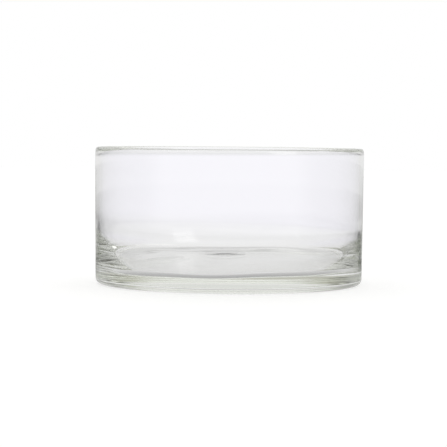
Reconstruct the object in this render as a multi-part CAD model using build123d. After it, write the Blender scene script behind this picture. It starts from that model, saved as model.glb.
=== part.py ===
from build123d import *
import math
import os

# Floating candle bowl: a low round bowl of clear moulded glass, in one piece.
# It stands on its foot ring at z = 0, centred on the Z axis. Sizes are in millimetres and degrees.

# Outside
rim_diameter = 152.4  # widest, at the rim
bowl_height = 77.2
wall_draft = 0.48  # lean of the outer wall, so that the glass leaves its mould
rim_thickness = 2.4  # wall at the fire polished rim
rim_rise = 2.4  # height over which that rim is rounded, as a half oval
heel_radius = 3.6  # outer corner from the wall to the foot

# Underside
foot_ring_width = 14.0  # flat ring that the bowl stands on
push_up = 1.0  # rise of the hollow inside that ring

# Inside
floor_thickness = 7.8  # glass under the edge of the floor
floor_crown = 1.0  # rise of the floor from its edge to the middle
corner_radius = 6.0  # turn from the floor to the wall
flare_angle = 25.0  # lean of the wall's thick foot where the corner takes over
flare_radius = 50.0  # long bend from the upright wall to that lean
button_diameter = 28.0  # low round rise that the plunger leaves in mid floor
button_height = 1.0
button_fillet = 40.0  # hollow bend around the button


def polar(centre, radius, degrees_up):
    """Point on a circle, at an angle counted up from the outward direction."""
    turn = math.radians(degrees_up)
    return centre + Vector(math.cos(turn), math.sin(turn)) * radius


def toward(centre, target, distance):
    """Point that far from the centre on the line to the target, where two tangent circles touch."""
    return centre + (target - centre).normalized() * distance


def arc_about(centre, start, end):
    """The shorter arc about a centre between two points at the same distance from it."""
    radius = (start - centre).length
    half_way = (start + end) * 0.5
    return ThreePointArc(start, toward(centre, half_way, radius), end)


# Rim: a half oval that the leaning outer wall and the upright inner wall run into
draft = math.radians(wall_draft)
rim_half = rim_thickness / 2
rim_centre = Vector(rim_diameter / 2 - rim_half, bowl_height - rim_rise)
rim_turn = -math.atan(math.tan(draft) * rim_rise / rim_half)  # where the oval leans as the wall does
rim_start = math.degrees(rim_turn)
rim_outer = rim_centre + Vector(rim_half * math.cos(rim_turn), rim_rise * math.sin(rim_turn))
rim_inner = rim_centre - Vector(rim_half, 0)

# Heel: tangent to the leaning outer wall and to the table
wall_at_heel = rim_outer.X - (rim_outer.Y - heel_radius) * math.tan(draft)
heel_centre = Vector(wall_at_heel - heel_radius / math.cos(draft), heel_radius)
heel_top = polar(heel_centre, heel_radius, -wall_draft)
heel_bottom = polar(heel_centre, heel_radius, -90)

# Foot ring and the shallow hollow within it
ring_inner = heel_bottom - Vector(foot_ring_width, 0)
hollow_top = Vector(0, push_up)
hollow_radius = (ring_inner.X**2 + push_up**2) / (2 * push_up)
hollow_centre = hollow_top - Vector(0, hollow_radius)

# Foot of the inner wall: the upright wall bends inward and the tighter corner carries it on to the floor
flare_reach = flare_radius - corner_radius  # from the centre of the one bend to that of the other
flare_height = floor_thickness + corner_radius + flare_reach * math.sin(math.radians(flare_angle))
flare_centre = Vector(rim_inner.X - flare_radius, flare_height)
flare_top = polar(flare_centre, flare_radius, 0)
flare_bottom = polar(flare_centre, flare_radius, -flare_angle)
corner_centre = polar(flare_centre, flare_reach, -flare_angle)

# Floor: a very flat dome, tangent to the corner
crown_height = floor_thickness + floor_crown
crown_radius = (corner_centre.X**2 - 2 * corner_radius * floor_crown + floor_crown**2) / (2 * floor_crown)
crown_centre = Vector(0, crown_height - crown_radius)
floor_edge = toward(crown_centre, corner_centre, crown_radius)

# Button: a low dome on the floor with a hollow bend around it
button_top = Vector(0, crown_height + button_height)
bend_x = button_diameter / 2
bend_y = crown_centre.Y + math.sqrt((crown_radius + button_fillet) ** 2 - bend_x**2)
bend_centre = Vector(bend_x, bend_y)
bend_drop = bend_y - button_top.Y
button_radius = (bend_x**2 + bend_drop**2 - button_fillet**2) / (2 * (button_fillet - bend_drop))
button_centre = button_top - Vector(0, button_radius)
button_edge = toward(crown_centre, bend_centre, crown_radius)
button_turn = toward(button_centre, bend_centre, button_radius)

# Half section, from the middle of the underside round to the middle of the floor, turned about Z
with BuildPart() as glass_bowl:
    with BuildSketch(Plane.XZ):
        with BuildLine():
            arc_about(hollow_centre, hollow_top, ring_inner)
            Line(ring_inner, heel_bottom)
            arc_about(heel_centre, heel_bottom, heel_top)
            Line(heel_top, rim_outer)
            EllipticalCenterArc(rim_centre, rim_half, rim_rise, rim_start, arc_size=90 - rim_start)
            EllipticalCenterArc(rim_centre, rim_half, rim_rise, 90, arc_size=90)
            Line(rim_inner, flare_top)
            arc_about(flare_centre, flare_top, flare_bottom)
            arc_about(corner_centre, flare_bottom, floor_edge)
            arc_about(crown_centre, floor_edge, button_edge)
            arc_about(bend_centre, button_edge, button_turn)
            arc_about(button_centre, button_turn, button_top)
            Line(button_top, hollow_top)
        make_face()
    revolve(axis=Axis.Z)

print(f"thinnest wall {rim_thickness - (rim_centre.Y - flare_top.Y) * math.tan(draft):.2f} mm")
print(f"wall starts to thicken at z = {flare_top.Y:.1f} mm, floor edge at r = {floor_edge.X:.1f} mm")

os.makedirs("parts", exist_ok=True)
export_step(glass_bowl.part, "parts/glass_bowl.step")
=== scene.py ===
import bpy
import math
from mathutils import Matrix, Vector


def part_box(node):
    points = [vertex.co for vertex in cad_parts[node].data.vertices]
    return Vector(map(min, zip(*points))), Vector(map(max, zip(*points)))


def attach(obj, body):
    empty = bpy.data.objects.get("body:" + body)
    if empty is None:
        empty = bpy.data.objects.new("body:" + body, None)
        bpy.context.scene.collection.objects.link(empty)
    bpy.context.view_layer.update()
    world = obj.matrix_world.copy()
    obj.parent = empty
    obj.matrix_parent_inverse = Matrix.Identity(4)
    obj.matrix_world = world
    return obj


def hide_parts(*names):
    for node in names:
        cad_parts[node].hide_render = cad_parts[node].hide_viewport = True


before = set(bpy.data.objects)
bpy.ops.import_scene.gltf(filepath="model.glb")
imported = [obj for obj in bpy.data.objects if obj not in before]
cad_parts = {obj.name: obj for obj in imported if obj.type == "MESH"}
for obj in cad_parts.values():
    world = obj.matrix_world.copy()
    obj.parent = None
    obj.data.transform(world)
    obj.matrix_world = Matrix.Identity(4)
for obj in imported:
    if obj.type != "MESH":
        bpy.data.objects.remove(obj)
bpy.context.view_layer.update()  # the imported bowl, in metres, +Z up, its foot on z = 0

scene = bpy.context.scene
mm = 0.001


def toLinear(hexColour):
    channels = [int(hexColour[i:i + 2], 16) / 255 for i in (1, 3, 5)]
    return [c / 12.92 if c <= 0.04045 else ((c + 0.055) / 1.055) ** 2.4 for c in channels] + [1.0]


# Adds a node, sets it up and links it: an input given as a socket is linked, any other is set
def addNode(tree, kind, inputs=None, **settings):
    node = tree.nodes.new(kind)
    for name, value in settings.items():
        setattr(node, name, value)
    for name, value in (inputs or {}).items():
        if isinstance(value, bpy.types.NodeSocket):
            tree.links.new(value, node.inputs[name])
        else:
            node.inputs[name].default_value = value
    return node


# The bowl, in mm and degrees: the solid's own sizes, with its width and height read from the frame
bowlSizes = {
    "wallDraft": 0.48,
    "rimThickness": 2.4,
    "rimRise": 2.4,
    "heelRadius": 3.6,
    "footRingWidth": 14.0,
    "pushUp": 1.0,
    "floorThickness": 7.8,
    "floorCrown": 1.0,
    "cornerRadius": 6.0,
    "flareAngle": 25.0,
    "flareRadius": 50.0,
    "buttonDiameter": 28.0,
    "buttonHeight": 1.0,
    "buttonFillet": 40.0,
    "rows": {  # of faces along each stretch of the section
        "hollow": 8, "footRing": 4, "heel": 32, "outerWall": 16, "rim": 24, "innerWall": 14,
        "flare": 40, "corner": 32, "floor": 16, "buttonBend": 6, "buttonTop": 6,
    },
    "segments": 488,  # faces round the bowl
}


def polar(centre, radius, degreesUp):
    turn = math.radians(degreesUp)
    return centre + Vector((math.cos(turn), math.sin(turn))) * radius


def toward(centre, target, distance):  # where two tangent circles touch
    return centre + (target - centre).normalized() * distance


def arcPoints(centre, start, end, steps):
    radius = (start - centre).length
    first = math.atan2(start.y - centre.y, start.x - centre.x)
    turn = math.atan2(end.y - centre.y, end.x - centre.x) - first
    turn = (turn + math.pi) % (2 * math.pi) - math.pi  # the shorter way round
    return [polar(centre, radius, math.degrees(first + turn * i / steps)) for i in range(1, steps + 1)]


def linePoints(start, end, steps):  # closer together at both ends, to keep the bends there smooth
    return [start.lerp(end, (1 - math.cos(math.pi * i / steps)) / 2) for i in range(1, steps + 1)]


# Half section in two runs: from the middle of the underside to the top of the rim, and from there to the
# middle of the floor
def bowlSection(sizes):
    low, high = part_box("glass_bowl")
    rimDiameter = (high.x - low.x) / mm
    bowlHeight = (high.z - low.z) / mm
    rows = sizes["rows"]

    draft = math.radians(sizes["wallDraft"])
    rimHalf, rimRise = sizes["rimThickness"] / 2, sizes["rimRise"]
    rimCentre = Vector((rimDiameter / 2 - rimHalf, bowlHeight - rimRise))
    rimStart = -math.atan(math.tan(draft) * rimRise / rimHalf)  # where the oval leans as the wall does
    rimPoints = []
    for i in range(rows["rim"] + 1):
        turn = rimStart + (math.pi - rimStart) * i / rows["rim"]
        rimPoints.append(rimCentre + Vector((rimHalf * math.cos(turn), rimRise * math.sin(turn))))
    rimOuter, rimInner = rimPoints[0], rimPoints[-1]

    heelRadius = sizes["heelRadius"]
    wallAtHeel = rimOuter.x - (rimOuter.y - heelRadius) * math.tan(draft)
    heelCentre = Vector((wallAtHeel - heelRadius / math.cos(draft), heelRadius))
    heelTop = polar(heelCentre, heelRadius, -sizes["wallDraft"])
    heelBottom = polar(heelCentre, heelRadius, -90)

    pushUp = sizes["pushUp"]
    ringInner = heelBottom - Vector((sizes["footRingWidth"], 0))
    hollowTop = Vector((0, pushUp))
    hollowRadius = (ringInner.x ** 2 + pushUp ** 2) / (2 * pushUp)
    hollowCentre = hollowTop - Vector((0, hollowRadius))

    lean = sizes["flareAngle"]
    flareRadius, cornerRadius = sizes["flareRadius"], sizes["cornerRadius"]
    cornerHeight = sizes["floorThickness"] + cornerRadius
    flareHeight = cornerHeight + (flareRadius - cornerRadius) * math.sin(math.radians(lean))
    flareCentre = Vector((rimInner.x - flareRadius, flareHeight))
    cornerCentre = polar(flareCentre, flareRadius - cornerRadius, -lean)
    flareTop = polar(flareCentre, flareRadius, 0)
    flareBottom = polar(flareCentre, flareRadius, -lean)

    crown = sizes["floorCrown"]
    crownRadius = (cornerCentre.x ** 2 - 2 * cornerRadius * crown + crown ** 2) / (2 * crown)
    crownCentre = Vector((0, sizes["floorThickness"] + crown - crownRadius))
    floorEdge = toward(crownCentre, cornerCentre, crownRadius)

    fillet = sizes["buttonFillet"]
    buttonTop = Vector((0, sizes["floorThickness"] + crown + sizes["buttonHeight"]))
    bendX = sizes["buttonDiameter"] / 2
    bendCentre = Vector((bendX, crownCentre.y + math.sqrt((crownRadius + fillet) ** 2 - bendX ** 2)))
    bendDrop = bendCentre.y - buttonTop.y
    buttonRadius = (bendX ** 2 + bendDrop ** 2 - fillet ** 2) / (2 * (fillet - bendDrop))
    buttonCentre = buttonTop - Vector((0, buttonRadius))
    buttonEdge = toward(crownCentre, bendCentre, crownRadius)
    buttonTurn = toward(buttonCentre, bendCentre, buttonRadius)

    outside = [hollowTop]
    outside += arcPoints(hollowCentre, hollowTop, ringInner, rows["hollow"])
    outside += linePoints(ringInner, heelBottom, rows["footRing"])
    outside += arcPoints(heelCentre, heelBottom, heelTop, rows["heel"])
    outside += linePoints(heelTop, rimOuter, rows["outerWall"])
    rimTop = rows["rim"] // 2
    outside += rimPoints[1:rimTop + 1]
    inside = rimPoints[rimTop + 1:]
    inside += linePoints(rimInner, flareTop, rows["innerWall"])
    inside += arcPoints(flareCentre, flareTop, flareBottom, rows["flare"])
    inside += arcPoints(cornerCentre, flareBottom, floorEdge, rows["corner"])
    inside += arcPoints(crownCentre, floorEdge, buttonEdge, rows["floor"])
    inside += arcPoints(bendCentre, buttonEdge, buttonTurn, rows["buttonBend"])
    inside += arcPoints(buttonCentre, buttonTurn, buttonTop, rows["buttonTop"])
    return outside, inside


# No moulded bowl is quite even. Waves run round it, each given as how many there are, how high they are in mm
# and the degrees to a crest.
bowlWander = {
    "floorEdge": [(1, 0.6, 0), (3, 0.33, -60), (8, 0.2, -74)],
    "floorReach": (22.0, 60.0),  # radii where the floor begins to follow its edge and where it does in full
    "wallSwell": [(1, 0.4, 180), (2, 0.1, 30), (3, 0.08, 10)],
    "wallReach": (14.0, 40.0),  # heights where the wall swells in full and where that ends
    "rimSag": [(0, 0.6, 0), (1, 0.3, 180)],  # how much deeper the rim is rounded, as a share of the drop
    "rimReach": (3.0, 14.0),  # mm below the rim, where that is in full and where it ends
    "buttonShift": -2.2,  # mm along X
    "buttonReach": (14.0, 40.0),  # radii where the floor shifts in full and where that ends
}


def ease(value, reach):  # 0 before the reach, 1 after it and a smooth rise in between
    share = min(max((value - reach[0]) / (reach[1] - reach[0]), 0.0), 1.0)
    return share * share * (3 - 2 * share)


def waveHeight(waves, degrees):
    return sum(high * math.cos(math.radians(many * (degrees - crest))) for many, high, crest in waves)


# Turns the section about Z: a fan at each end of it and rings of four-sided faces between
def turnBowl(name, sizes, wander):
    outside, inside = bowlSection(sizes)
    section = outside + inside
    rimTop = outside[-1].y
    count = sizes["segments"]
    verts = [(0, 0, section[0].y * mm)]
    for row, point in enumerate(section[1:-1], 1):
        within = row >= len(outside)
        onWall = 1 - ease(point.y, wander["wallReach"])
        onFloor = ease(point.x, wander["floorReach"]) * onWall
        onButton = 1 - ease(point.x, wander["buttonReach"])
        drop = rimTop - point.y
        onRim = 1 - ease(drop, wander["rimReach"])
        for k in range(count):
            degrees = 360 * k / count
            radius, shift = point.x, 0
            height = point.y - waveHeight(wander["rimSag"], degrees) * drop * onRim
            if within:
                radius -= waveHeight(wander["wallSwell"], degrees) * onFloor
                height += waveHeight(wander["floorEdge"], degrees) * onFloor
                shift = wander["buttonShift"] * onButton
            turn = math.radians(degrees)
            verts.append(((radius * math.cos(turn) + shift) * mm, radius * math.sin(turn) * mm, height * mm))
    verts.append((wander["buttonShift"] * mm, 0, section[-1].y * mm))
    ring = [[1 + row * count + k for k in range(count)] for row in range(len(section) - 2)]
    last = len(verts) - 1
    faces = []
    for k in range(count):
        n = (k + 1) % count
        faces.append((0, ring[0][n], ring[0][k]))
        for low, high in zip(ring, ring[1:]):
            faces.append((low[k], low[n], high[n], high[k]))
        faces.append((ring[-1][k], ring[-1][n], last))
    mesh = bpy.data.meshes.new(name)
    mesh.from_pydata(verts, [], faces)
    mesh.shade_smooth()
    piece = bpy.data.objects.new(name, mesh)
    scene.collection.objects.link(piece)
    return piece


# Soda-lime glass, moulded and fire polished: clear and almost without colour through the thin wall, and
# yellow-green where the eye looks along the thick base. Only the foot, which cooled against the mould, keeps
# a dull skin.
glassFinish = {
    "ior": 1.52,
    "depthColour": "#d2dabe",  # what is left of white after one unit of depth
    "density": 1.7,  # per metre
    "footHeight": (0.5, 5.0),  # mm up, where the dull skin starts to clear and where it ends
    "footRoughness": 0.012,
    "skinSpread": (0.6, 1.4),  # of that roughness, between the specks and on them
    "wallRoughness": 0.0,
    "skinGrain": 1.4,  # mm between the specks of the dull skin, drawn coarse so that they show
    "ripple": 16.0,  # mm between the soft ripples that fire polishing leaves
    "rippleHeight": 0.004,  # mm
}


def sodaLimeGlass(finish):
    material = bpy.data.materials.new("soda_lime_glass_fire_polished")
    material.use_nodes = True
    tree = material.node_tree
    tree.nodes.clear()
    place = addNode(tree, "ShaderNodeTexCoord").outputs["Object"]
    height = addNode(tree, "ShaderNodeSeparateXYZ", {0: place})
    low, high = finish["footHeight"]
    onFoot = addNode(tree, "ShaderNodeMapRange", {
        "Value": height.outputs["Z"], "From Min": high * mm, "From Max": low * mm,
    }, interpolation_type="SMOOTHSTEP")
    specks = addNode(tree, "ShaderNodeTexNoise", {
        "Vector": place, "Scale": 1 / (finish["skinGrain"] * mm), "Detail": 3.0,
    })
    between, onSpecks = [share * finish["footRoughness"] for share in finish["skinSpread"]]
    dullness = addNode(tree, "ShaderNodeMapRange", {
        "Value": specks.outputs[0], "From Min": 0.3, "From Max": 0.7,  # where most of a noise lies
        "To Min": between, "To Max": onSpecks,
    })
    roughness = addNode(tree, "ShaderNodeMapRange", {
        "Value": onFoot.outputs[0], "To Min": finish["wallRoughness"], "To Max": dullness.outputs[0],
    })
    ripples = addNode(tree, "ShaderNodeTexNoise", {
        "Vector": place, "Scale": 1 / (finish["ripple"] * mm), "Detail": 0.0,
    })
    rippled = addNode(tree, "ShaderNodeBump", {
        "Height": ripples.outputs[0], "Strength": 1.0, "Distance": finish["rippleHeight"] * mm,
    })
    surface = addNode(tree, "ShaderNodeBsdfPrincipled", {
        "Base Color": toLinear("#ffffff"),
        "IOR": finish["ior"],
        "Roughness": roughness.outputs[0],
        "Normal": rippled.outputs[0],
        "Transmission Weight": 1.0,
    })
    depth = addNode(tree, "ShaderNodeVolumeAbsorption", {
        "Color": toLinear(finish["depthColour"]),
        "Density": finish["density"],
    })
    addNode(tree, "ShaderNodeOutputMaterial", {"Surface": surface.outputs[0], "Volume": depth.outputs[0]})
    return material


bowl = turnBowl("glass_bowl_clear", bowlSizes, bowlWander)
bowl.data.materials.append(sodaLimeGlass(glassFinish))
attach(bowl, "root")
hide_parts("glass_bowl")
print("bowl turned:", len(bowl.data.polygons), "faces")


# The studio. Seen straight, its room and table are white. Through the clear glass they are nearly so, but for
# a painted shade under the bowl and a backdrop that darkens upward. Rays that the glass has reflected, on its
# skin or inside it, see the grey tones that draw its edges: light from the room, and painted light and shade
# on the table.
studio = {
    "room": {  # by degrees up
        "back": [(12, "#e8e8e8"), (36, "#ffffff")],
        "sides": [(0, "#d4d4d4"), (14, "#484840"), (22, "#38382e"), (40, "#ccccbc"), (52, "#f8f8f8")],
        "front": [(0, "#f8f8f8"), (10, "#cccccc"), (26, "#949480"), (52, "#ececec")],
    },
    "table": {  # by mm out from the middle of the foot; painted light and shade on the table, seen by rays that the glass reflected: dark under and just around the foot, grey rings further out
        "back": [(45, "#404040"), (60, "#d8d8d8"), (72, "#ffffff"), (88, "#b0b0b0"), (150, "#e8e8e8"),
                 (900, "#acacac"), (3000, "#e0e0e0")],
        "sides": [(110, "#e0e0e0"), (165, "#a0a0a0"), (300, "#707070"), (550, "#505050"), (900, "#bcbcbc")],
        "front": [(68, "#9c9c9c"), (74, "#f0f0f0"), (115, "#bcbcbc"), (150, "#505050"), (300, "#505050"),
                  (900, "#e4e4e4")],
    },
    "shade": {  # the table's tones by mm out, seen through the glass: painted shade under the bowl, darkest near the foot ring
        "back": [(45, "#e8e8e8"), (77, "#f4f4f4"), (110, "#f9f9fa"), (1200, "#faf9ff")],
        "sides": [(45, "#e8e8e8"), (62, "#d0d0d0"), (77, "#f0f0f0"), (110, "#faf9ff")],
        "front": [(30, "#e8e8e8"), (62, "#d8d8d8"), (110, "#faf9ff")],
    },
    "backdrop": [(2, "#faf9ff"), (7, "#c4c4bc")],  # the room, seen through the glass, by degrees up
    # Degrees from straight behind, where a set of tones begins and where it is in full
    "roomEdges": {"back": (60, 20), "front": (96, 127)},
    "tableEdges": {"back": (42, 16), "front": (96, 127)},
    "paper": {  # matte for the shadow, lifted to white
        "radius": 3000.0,
        "corners": 96,
        "gap": 0.1,  # mm under the foot, so that the two skins don't share a plane
        "colour": "#bcbcbc",
        "lift": 0.67,
    },
}


# What kind of ray asks: one straight from the camera, or one that the glass has let through and not reflected
def rayKinds(tree):
    path = addNode(tree, "ShaderNodeLightPath")
    clear = addNode(tree, "ShaderNodeMath", {0: path.outputs["Glossy Depth"], 1: 0.5}, operation="LESS_THAN")
    through = addNode(tree, "ShaderNodeMath", {0: path.outputs["Is Transmission Ray"], 1: clear.outputs[0]},
                      operation="MULTIPLY")
    return path.outputs["Is Camera Ray"], through.outputs[0]


# Tones that differ behind the bowl, beside it and in front of it, and run into each other in between
def tonesAround(tree, outward, share, toneSets, edges):
    flat = addNode(tree, "ShaderNodeVectorMath", {0: outward, 1: (1, 1, 0)}, operation="MULTIPLY")
    aim = addNode(tree, "ShaderNodeVectorMath", {0: flat.outputs[0]}, operation="NORMALIZE")
    ahead = addNode(tree, "ShaderNodeSeparateXYZ", {0: aim.outputs[0]}).outputs["Y"]
    tones = None
    for place in ("sides", "back", "front"):
        ramp = addNode(tree, "ShaderNodeValToRGB", {0: share}, name=place + " tones")
        stops = ramp.color_ramp.elements
        while len(stops) < len(toneSets[place]):
            stops.new(1.0)
        for stop, (at, tone) in zip(stops, toneSets[place]):
            stop.position = at
            stop.color = toLinear(tone)
        if tones is None:
            tones = ramp.outputs[0]
            continue
        start, full = [math.cos(math.radians(edge)) for edge in edges[place]]
        here = addNode(tree, "ShaderNodeMapRange", {"Value": ahead, "From Min": start, "From Max": full},
                       interpolation_type="SMOOTHSTEP")
        tones = addNode(tree, "ShaderNodeMix", {0: here.outputs[0], 6: tones, 7: ramp.outputs[0]},
                        data_type="RGBA").outputs[2]
    return tones


def lightRoom(toneSets, edges, backdrop):
    world = bpy.data.worlds.new("studio")
    scene.world = world
    world.use_nodes = True
    tree = world.node_tree
    tree.nodes.clear()
    direction = addNode(tree, "ShaderNodeTexCoord").outputs["Generated"]
    height = addNode(tree, "ShaderNodeSeparateXYZ", {0: direction})
    share = addNode(tree, "ShaderNodeMapRange", {
        "Value": height.outputs["Z"], "From Min": -1.0, "From Max": 1.0,
    })
    toneSets = {place: [((math.sin(math.radians(up)) + 1) / 2, tone) for up, tone in tones]
                for place, tones in toneSets.items()}
    tones = tonesAround(tree, direction, share.outputs[0], toneSets, edges)
    straight, through = rayKinds(tree)
    (start, low), (end, high) = backdrop
    rise = addNode(tree, "ShaderNodeMapRange", {
        "Value": height.outputs["Z"],
        "From Min": math.sin(math.radians(start)), "From Max": math.sin(math.radians(end)),
    })
    behind = addNode(tree, "ShaderNodeMix", {0: rise.outputs[0], 6: toLinear(low), 7: toLinear(high)},
                     data_type="RGBA")
    inGlass = addNode(tree, "ShaderNodeMix", {0: through, 6: tones, 7: behind.outputs[2]}, data_type="RGBA")
    shown = addNode(tree, "ShaderNodeMix", {0: straight, 6: inGlass.outputs[2], 7: toLinear("#ffffff")},
                    data_type="RGBA")
    light = addNode(tree, "ShaderNodeBackground", {"Color": shown.outputs[2]})
    addNode(tree, "ShaderNodeOutputWorld", {"Surface": light.outputs[0]})


def layTable(toneSets, shadeSets, edges, sheet):
    radius, corners = sheet["radius"], sheet["corners"]
    edge = Vector((radius * mm, 0, 0))
    rim = [Matrix.Rotation(math.tau * k / corners, 3, "Z") @ edge for k in range(corners)]
    mesh = bpy.data.meshes.new("table")
    mesh.from_pydata(rim, [], [range(corners)])
    table = bpy.data.objects.new("table", mesh)
    table.location.z = -sheet["gap"] * mm
    scene.collection.objects.link(table)
    material = bpy.data.materials.new("paper_matte_white_painted_shade")
    material.use_nodes = True
    tree = material.node_tree
    tree.nodes.clear()
    place = addNode(tree, "ShaderNodeTexCoord").outputs["Object"]
    out = addNode(tree, "ShaderNodeVectorMath", {0: place}, operation="LENGTH")
    share = addNode(tree, "ShaderNodeMapRange", {"Value": out.outputs["Value"], "From Max": radius * mm})
    tones, shade = [tonesAround(tree, place, share.outputs[0], {
        side: [(mmOut / radius, tone) for mmOut, tone in stops] for side, stops in sets.items()
    }, edges) for sets in (toneSets, shadeSets)]
    straight, through = rayKinds(tree)
    inGlass = addNode(tree, "ShaderNodeMix", {0: through, 6: tones, 7: shade}, data_type="RGBA")
    # Rays that the glass reflected or let through see the table glow in painted tones: painted shade under
    # and around the foot and painted grey rings further out. Straight rays see white matte paper with its
    # real shadow.
    glow = addNode(tree, "ShaderNodeEmission", {"Color": inGlass.outputs[2]})
    paper = addNode(tree, "ShaderNodeBsdfDiffuse", {"Color": toLinear(sheet["colour"])})
    lift = addNode(tree, "ShaderNodeEmission", {"Strength": sheet["lift"]})
    white = addNode(tree, "ShaderNodeAddShader", {0: paper.outputs[0], 1: lift.outputs[0]})
    shown = addNode(tree, "ShaderNodeMixShader", {0: straight, 1: glow.outputs[0], 2: white.outputs[0]})
    addNode(tree, "ShaderNodeOutputMaterial", {"Surface": shown.outputs[0]})
    mesh.materials.append(material)


# The one lamp that shows, as a soft window of light on the inside of the far wall
softbox = {
    "place": (727.0, -687.0, 480.0),  # mm
    "aim": (0.0, 0.0, 30.0),
    "size": (560.0, 820.0),
    "brightness": 1.8,  # in the middle, against the white of the backdrop
    "softEdge": 0.3,  # as a share of the size
}


def hangSoftbox(lamp):
    light = bpy.data.lights.new("softbox", "AREA")
    light.shape = "RECTANGLE"
    light.size, light.size_y = lamp["size"][0] * mm, lamp["size"][1] * mm
    light.energy = lamp["brightness"] * math.pi * light.size * light.size_y
    light.use_nodes = True
    tree = light.node_tree
    tree.nodes.clear()
    across = addNode(tree, "ShaderNodeNewGeometry").outputs["Parametric"]
    fromMiddle = addNode(tree, "ShaderNodeVectorMath", {0: across, 1: (0.5, 0.5, 0.0)}, operation="SUBTRACT")
    apart = addNode(tree, "ShaderNodeVectorMath", {0: fromMiddle.outputs[0]}, operation="ABSOLUTE")
    ways = addNode(tree, "ShaderNodeSeparateXYZ", {0: apart.outputs[0]})
    glow = [addNode(tree, "ShaderNodeMapRange", {
        "Value": ways.outputs[axis], "From Min": 0.5, "From Max": 0.5 - lamp["softEdge"],
    }, interpolation_type="SMOOTHSTEP").outputs[0] for axis in "XY"]
    both = addNode(tree, "ShaderNodeMath", {0: glow[0], 1: glow[1]}, operation="MULTIPLY")
    shine = addNode(tree, "ShaderNodeEmission", {"Strength": both.outputs[0]})
    addNode(tree, "ShaderNodeOutputLight", {"Surface": shine.outputs[0]})
    hung = bpy.data.objects.new("softbox", light)
    hung.location = Vector(lamp["place"]) * mm
    aim = Vector(lamp["aim"]) * mm
    hung.rotation_mode = "QUATERNION"
    hung.rotation_quaternion = (aim - hung.location).to_track_quat("-Z", "Y")
    hung.visible_diffuse = False  # the table takes its light from the room alone
    scene.collection.objects.link(hung)


lightRoom(studio["room"], studio["roomEdges"], studio["backdrop"])
layTable(studio["table"], studio["shade"], studio["tableEdges"], studio["paper"])
hangSoftbox(softbox)
bounces = 160  # light runs round the rim and to and fro in the base before it leaves the glass
scene.cycles.max_bounces = bounces
scene.cycles.transmission_bounces = bounces
scene.cycles.glossy_bounces = bounces
print("studio lit")


# The camera stands a little above the rim, in mm from the middle of the foot
cameraPlace = {
    "distance": 1160.0,
    "height": 89.5,
    "aimRight": -3.1,
    "aimUp": 34.2,
    "roll": 0.5,  # degrees
    "picturePixels": 447.0,  # width of the picture
    "focalPixels": 2042.0,  # focal length, in those pixels
    "sensor": 36.0,
}


def setCamera(place):
    lens = bpy.data.cameras.new("camera")
    lens.sensor_width = place["sensor"]
    lens.lens = place["sensor"] * place["focalPixels"] / place["picturePixels"]
    camera = bpy.data.objects.new("camera", lens)
    scene.collection.objects.link(camera)
    camera.location = Vector((0, -place["distance"], place["height"])) * mm
    aim = Vector((place["aimRight"], 0, place["aimUp"])) * mm
    turn = (aim - camera.location).to_track_quat("-Z", "Y").to_matrix().to_4x4()
    camera.rotation_mode = "QUATERNION"
    camera.rotation_quaternion = (turn @ Matrix.Rotation(math.radians(place["roll"]), 4, "Z")).to_quaternion()
    scene.camera = camera


setCamera(cameraPlace)
scene.view_settings.view_transform = "Standard"
print("camera set")
